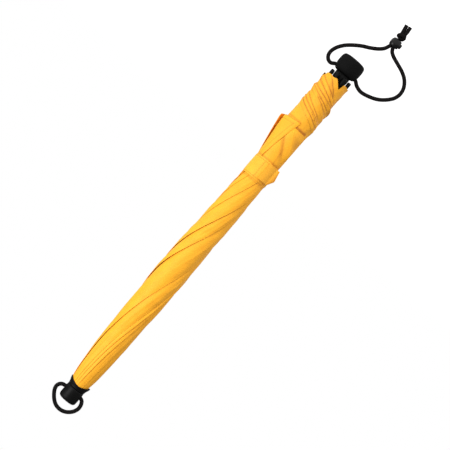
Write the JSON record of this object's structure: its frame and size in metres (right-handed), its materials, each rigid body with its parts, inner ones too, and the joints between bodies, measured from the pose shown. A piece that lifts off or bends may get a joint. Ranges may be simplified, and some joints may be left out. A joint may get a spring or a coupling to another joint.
{
  "type": "stick umbrella",
  "caption": "Closed stick umbrella with a furled yellow canopy, a strap, a short black knob handle, a wrist cord with a lock, and a carrying loop at the tip.",
  "frame": {"origin": "centre of the handle knob, on the shaft's axis, where a hand holds it", "axes": "+Z along the shaft from the knob up to the crown and tip, as the umbrella is held in use; +X towards the side the wrist cord's short strand leaves; -Y is the side with the strap's sewn end"},
  "size_m": [0.1267, 0.0512, 0.7809],
  "materials": {
    "canopy_fabric": "plain woven polyester, slightly sheeny",
    "handle_rubber": "matte black, fine grain",
    "black_plastic": "satin moulded",
    "shaft_fibre": "smooth fibre-reinforced tube",
    "rib_fibre": "smooth fibre-reinforced rod",
    "stretcher_metal": "dark anodised",
    "button_grey": "satin moulded",
    "cord_black": "braided round cord"
  },
  "bodies": {
    "handle": {"handle_knob": "handle_rubber", "rib_tip_seat": "black_plastic", "shaft_tube": "shaft_fibre", "lower_stop": "black_plastic", "upper_stop": "black_plastic", "crown_notch": "black_plastic", "canopy_collar": "black_plastic", "tip_cap": "black_plastic", "wrist_cord_right": "cord_black", "wrist_cord_left": "cord_black", "cord_lock_body": "black_plastic", "cord_knot": "cord_black"},
    "tip_loop": {"tip_loop": "cord_black"},
    "cord_lock_button": {"cord_lock_button": "black_plastic"},
    "rib_1": {"rib_rod_1": "rib_fibre", "rib_tip_1": "black_plastic", "rib_bracket_1": "black_plastic"},
    "stretcher_1": {"stretcher_1": "stretcher_metal"},
    "gore_1": {"canopy_gore_1": "canopy_fabric", "closing_strap": "canopy_fabric", "strap_end": "canopy_fabric"},
    "rib_2": {"rib_rod_2": "rib_fibre", "rib_tip_2": "black_plastic", "rib_bracket_2": "black_plastic"},
    "stretcher_2": {"stretcher_2": "stretcher_metal"},
    "gore_2": {"canopy_gore_2": "canopy_fabric"},
    "rib_3": {"rib_rod_3": "rib_fibre", "rib_tip_3": "black_plastic", "rib_bracket_3": "black_plastic"},
    "stretcher_3": {"stretcher_3": "stretcher_metal"},
    "gore_3": {"canopy_gore_3": "canopy_fabric"},
    "rib_4": {"rib_rod_4": "rib_fibre", "rib_tip_4": "black_plastic", "rib_bracket_4": "black_plastic"},
    "stretcher_4": {"stretcher_4": "stretcher_metal"},
    "gore_4": {"canopy_gore_4": "canopy_fabric"},
    "rib_5": {"rib_rod_5": "rib_fibre", "rib_tip_5": "black_plastic", "rib_bracket_5": "black_plastic"},
    "stretcher_5": {"stretcher_5": "stretcher_metal"},
    "gore_5": {"canopy_gore_5": "canopy_fabric"},
    "rib_6": {"rib_rod_6": "rib_fibre", "rib_tip_6": "black_plastic", "rib_bracket_6": "black_plastic"},
    "stretcher_6": {"stretcher_6": "stretcher_metal"},
    "gore_6": {"canopy_gore_6": "canopy_fabric"},
    "rib_7": {"rib_rod_7": "rib_fibre", "rib_tip_7": "black_plastic", "rib_bracket_7": "black_plastic"},
    "stretcher_7": {"stretcher_7": "stretcher_metal"},
    "gore_7": {"canopy_gore_7": "canopy_fabric"},
    "rib_8": {"rib_rod_8": "rib_fibre", "rib_tip_8": "black_plastic", "rib_bracket_8": "black_plastic"},
    "stretcher_8": {"stretcher_8": "stretcher_metal"},
    "gore_8": {"canopy_gore_8": "canopy_fabric"},
    "runner": {"runner": "black_plastic"},
    "release_button": {"release_button": "button_grey"}
  },
  "joints": [
    {"name": "rib_1_open", "type": "hinge", "parent": "handle", "child": "rib_1", "pos_m": [0.00344, -0.00831, 0.618], "axis": [-0.9239, -0.3827, 0], "range_deg": [0, 75]},
    {"name": "stretcher_1_fold", "type": "hinge", "parent": "rib_1", "child": "stretcher_1", "pos_m": [0.00425, -0.01025, 0.37801], "axis": [-0.9239, -0.3827, 0], "range_deg": [-150, 0]},
    {"name": "gore_1_spread", "type": "hinge", "parent": "rib_1", "child": "gore_1", "pos_m": [0.20848, -0.20848, 0.41589], "axis": [0.5769, -0.5769, -0.5783], "range_deg": [0, 53.89], "deforming": ["canopy_gore_1", "closing_strap", "strap_end"]},
    {"name": "rib_2_open", "type": "hinge", "parent": "handle", "child": "rib_2", "pos_m": [0.00831, -0.00344, 0.618], "axis": [-0.3827, -0.9239, 0], "range_deg": [0, 75]},
    {"name": "stretcher_2_fold", "type": "hinge", "parent": "rib_2", "child": "stretcher_2", "pos_m": [0.01025, -0.00425, 0.37801], "axis": [-0.3827, -0.9239, 0], "range_deg": [-150, 0]},
    {"name": "gore_2_spread", "type": "hinge", "parent": "rib_2", "child": "gore_2", "pos_m": [0.29483, 0, 0.41589], "axis": [0.8158, 0, -0.5783], "range_deg": [0, 53.89], "deforming": ["canopy_gore_2"]},
    {"name": "rib_3_open", "type": "hinge", "parent": "handle", "child": "rib_3", "pos_m": [0.00831, 0.00344, 0.618], "axis": [0.3827, -0.9239, 0], "range_deg": [0, 75]},
    {"name": "stretcher_3_fold", "type": "hinge", "parent": "rib_3", "child": "stretcher_3", "pos_m": [0.01025, 0.00425, 0.37801], "axis": [0.3827, -0.9239, 0], "range_deg": [-150, 0]},
    {"name": "gore_3_spread", "type": "hinge", "parent": "rib_3", "child": "gore_3", "pos_m": [0.20848, 0.20848, 0.41589], "axis": [0.5769, 0.5769, -0.5783], "range_deg": [0, 53.89], "deforming": ["canopy_gore_3"]},
    {"name": "rib_4_open", "type": "hinge", "parent": "handle", "child": "rib_4", "pos_m": [0.00344, 0.00831, 0.618], "axis": [0.9239, -0.3827, 0], "range_deg": [0, 75]},
    {"name": "stretcher_4_fold", "type": "hinge", "parent": "rib_4", "child": "stretcher_4", "pos_m": [0.00425, 0.01025, 0.37801], "axis": [0.9239, -0.3827, 0], "range_deg": [-150, 0]},
    {"name": "gore_4_spread", "type": "hinge", "parent": "rib_4", "child": "gore_4", "pos_m": [0, 0.29483, 0.41589], "axis": [0, 0.8158, -0.5783], "range_deg": [0, 53.89], "deforming": ["canopy_gore_4"]},
    {"name": "rib_5_open", "type": "hinge", "parent": "handle", "child": "rib_5", "pos_m": [-0.00344, 0.00831, 0.618], "axis": [0.9239, 0.3827, 0], "range_deg": [0, 75]},
    {"name": "stretcher_5_fold", "type": "hinge", "parent": "rib_5", "child": "stretcher_5", "pos_m": [-0.00425, 0.01025, 0.37801], "axis": [0.9239, 0.3827, 0], "range_deg": [-150, 0]},
    {"name": "gore_5_spread", "type": "hinge", "parent": "rib_5", "child": "gore_5", "pos_m": [-0.20848, 0.20848, 0.41589], "axis": [-0.5769, 0.5769, -0.5783], "range_deg": [0, 53.89], "deforming": ["canopy_gore_5"]},
    {"name": "rib_6_open", "type": "hinge", "parent": "handle", "child": "rib_6", "pos_m": [-0.00831, 0.00344, 0.618], "axis": [0.3827, 0.9239, 0], "range_deg": [0, 75]},
    {"name": "stretcher_6_fold", "type": "hinge", "parent": "rib_6", "child": "stretcher_6", "pos_m": [-0.01025, 0.00425, 0.37801], "axis": [0.3827, 0.9239, 0], "range_deg": [-150, 0]},
    {"name": "gore_6_spread", "type": "hinge", "parent": "rib_6", "child": "gore_6", "pos_m": [-0.29483, 0, 0.41589], "axis": [-0.8158, 0, -0.5783], "range_deg": [0, 53.89], "deforming": ["canopy_gore_6"]},
    {"name": "rib_7_open", "type": "hinge", "parent": "handle", "child": "rib_7", "pos_m": [-0.00831, -0.00344, 0.618], "axis": [-0.3827, 0.9239, 0], "range_deg": [0, 75]},
    {"name": "stretcher_7_fold", "type": "hinge", "parent": "rib_7", "child": "stretcher_7", "pos_m": [-0.01025, -0.00425, 0.37801], "axis": [-0.3827, 0.9239, 0], "range_deg": [-150, 0]},
    {"name": "gore_7_spread", "type": "hinge", "parent": "rib_7", "child": "gore_7", "pos_m": [-0.20848, -0.20848, 0.41589], "axis": [-0.5769, -0.5769, -0.5783], "range_deg": [0, 53.89], "deforming": ["canopy_gore_7"]},
    {"name": "rib_8_open", "type": "hinge", "parent": "handle", "child": "rib_8", "pos_m": [-0.00344, -0.00831, 0.618], "axis": [-0.9239, 0.3827, 0], "range_deg": [0, 75]},
    {"name": "stretcher_8_fold", "type": "hinge", "parent": "rib_8", "child": "stretcher_8", "pos_m": [-0.00425, -0.01025, 0.37801], "axis": [-0.9239, 0.3827, 0], "range_deg": [-150, 0]},
    {"name": "gore_8_spread", "type": "hinge", "parent": "rib_8", "child": "gore_8", "pos_m": [0, -0.29483, 0.41589], "axis": [0, -0.8158, -0.5783], "range_deg": [0, 53.89], "deforming": ["canopy_gore_8"]},
    {"name": "runner_ride", "type": "hinge", "parent": "stretcher_1", "child": "runner", "pos_m": [0.00344, -0.00831, 0.13802], "axis": [-0.9239, -0.3827, 0], "range_deg": [0, 75]},
    {"name": "release_button_press", "type": "slide", "parent": "runner", "child": "release_button", "axis": [-1, 0, 0], "range_m": [0, 0.0016], "stiffness_N_per_m": 300, "springref_m": -0.001},
    {"name": "cord_lock_press", "type": "slide", "parent": "handle", "child": "cord_lock_button", "axis": [1, 0, 0], "range_m": [0, 0.003], "stiffness_N_per_m": 300, "springref_m": -0.001},
    {"name": "tip_loop_swing", "type": "hinge", "parent": "handle", "child": "tip_loop", "pos_m": [0, 0, 0.64], "axis": [1, 0, 0], "range_deg": [-80, 80]}
  ],
  "couplings": [
    {"joint": "stretcher_1_fold", "follows": "rib_1_open", "ratio": -2},
    {"joint": "gore_1_spread", "follows": "rib_1_open", "ratio": 0.71848},
    {"joint": "rib_2_open", "follows": "rib_1_open", "ratio": 1},
    {"joint": "stretcher_2_fold", "follows": "rib_1_open", "ratio": -2},
    {"joint": "gore_2_spread", "follows": "rib_1_open", "ratio": 0.71848},
    {"joint": "rib_3_open", "follows": "rib_1_open", "ratio": 1},
    {"joint": "stretcher_3_fold", "follows": "rib_1_open", "ratio": -2},
    {"joint": "gore_3_spread", "follows": "rib_1_open", "ratio": 0.71848},
    {"joint": "rib_4_open", "follows": "rib_1_open", "ratio": 1},
    {"joint": "stretcher_4_fold", "follows": "rib_1_open", "ratio": -2},
    {"joint": "gore_4_spread", "follows": "rib_1_open", "ratio": 0.71848},
    {"joint": "rib_5_open", "follows": "rib_1_open", "ratio": 1},
    {"joint": "stretcher_5_fold", "follows": "rib_1_open", "ratio": -2},
    {"joint": "gore_5_spread", "follows": "rib_1_open", "ratio": 0.71848},
    {"joint": "rib_6_open", "follows": "rib_1_open", "ratio": 1},
    {"joint": "stretcher_6_fold", "follows": "rib_1_open", "ratio": -2},
    {"joint": "gore_6_spread", "follows": "rib_1_open", "ratio": 0.71848},
    {"joint": "rib_7_open", "follows": "rib_1_open", "ratio": 1},
    {"joint": "stretcher_7_fold", "follows": "rib_1_open", "ratio": -2},
    {"joint": "gore_7_spread", "follows": "rib_1_open", "ratio": 0.71848},
    {"joint": "rib_8_open", "follows": "rib_1_open", "ratio": 1},
    {"joint": "stretcher_8_fold", "follows": "rib_1_open", "ratio": -2},
    {"joint": "gore_8_spread", "follows": "rib_1_open", "ratio": 0.71848},
    {"joint": "runner_ride", "follows": "rib_1_open", "ratio": 1}
  ]
}
